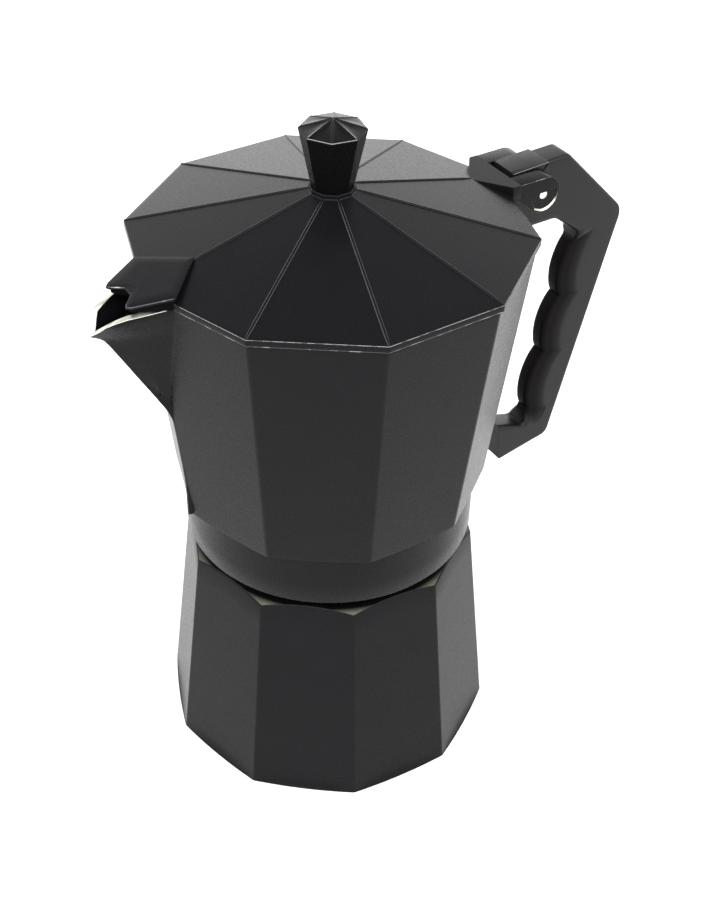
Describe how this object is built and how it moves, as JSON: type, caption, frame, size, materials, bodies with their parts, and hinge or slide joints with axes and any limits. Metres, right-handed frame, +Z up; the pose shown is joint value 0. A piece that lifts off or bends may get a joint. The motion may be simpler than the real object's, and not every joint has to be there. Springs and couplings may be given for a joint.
{
  "type": "moka pot",
  "caption": "Ten-sided stovetop moka pot with a screw-on upper chamber, hinged lid with spout hood, tapered knob and finger-bump handle.",
  "frame": {"origin": "centre of the flat base, on the surface that the pot stands on", "axes": "+Z up along the axis of the pot, +X towards the handle, -X towards the spout"},
  "size_m": [0.1997, 0.123, 0.2367],
  "materials": {
    "coated_casting": "cast, with a satin black coating of fine grain",
    "bare_aluminium": "turned and tumbled, matt",
    "handle_plastic": "satin moulded thermoset",
    "knob_plastic": "semi-gloss moulded thermoset",
    "valve_brass": "turned",
    "copper_washer": "stamped copper",
    "spring_steel": "drawn wire",
    "pin_steel": "bright turned",
    "seal_rubber": "matt"
  },
  "bodies": {
    "boiler": {"boiler": "coated_casting", "valve_body": "valve_brass", "valve_washer": "copper_washer", "valve_spring": "spring_steel", "valve_cap": "valve_brass"},
    "valve_pin": {"valve_pin": "valve_brass"},
    "funnel": {"funnel": "bare_aluminium", "funnel_sieve": "bare_aluminium"},
    "gasket": {"gasket": "seal_rubber"},
    "filter_plate": {"filter_plate": "bare_aluminium"},
    "upper": {"upper_chamber": "coated_casting", "riser_column": "coated_casting", "handle": "handle_plastic", "hinge_pin": "pin_steel"},
    "lid": {"lid": "coated_casting", "knob": "knob_plastic", "knob_insert": "valve_brass", "knob_washer": "pin_steel", "knob_screw": "pin_steel"}
  },
  "joints": [
    {"name": "valve_lift", "type": "slide", "parent": "boiler", "child": "valve_pin", "axis": [0.0806, 0.9911, 0.106], "range_m": [0, 0.0015], "stiffness_N_per_m": 1500, "springref_m": -0.002, "deforming": ["valve_spring"]},
    {"name": "funnel_lift", "type": "slide", "parent": "boiler", "child": "funnel", "axis": [0, 0, 1], "range_m": [0, 0.1]},
    {"name": "upper_lift_off", "type": "slide", "parent": "funnel", "child": "gasket", "axis": [0, 0, 1], "range_m": [0, 0.05]},
    {"name": "thread_rise", "type": "slide", "parent": "gasket", "child": "filter_plate", "axis": [0, 0, 1], "range_m": [0, 0.005]},
    {"name": "upper_turn", "type": "hinge", "parent": "filter_plate", "child": "upper", "pos_m": [0, 0, 0.1], "axis": [0, 0, 1], "range_deg": [0, 720]},
    {"name": "lid_hinge", "type": "hinge", "parent": "upper", "child": "lid", "pos_m": [0.0745, 0, 0.1955], "axis": [0, 1, 0], "range_deg": [0, 97]}
  ],
  "couplings": [
    {"joint": "thread_rise", "follows": "upper_turn", "m_per_rad": 0.00039789}
  ]
}
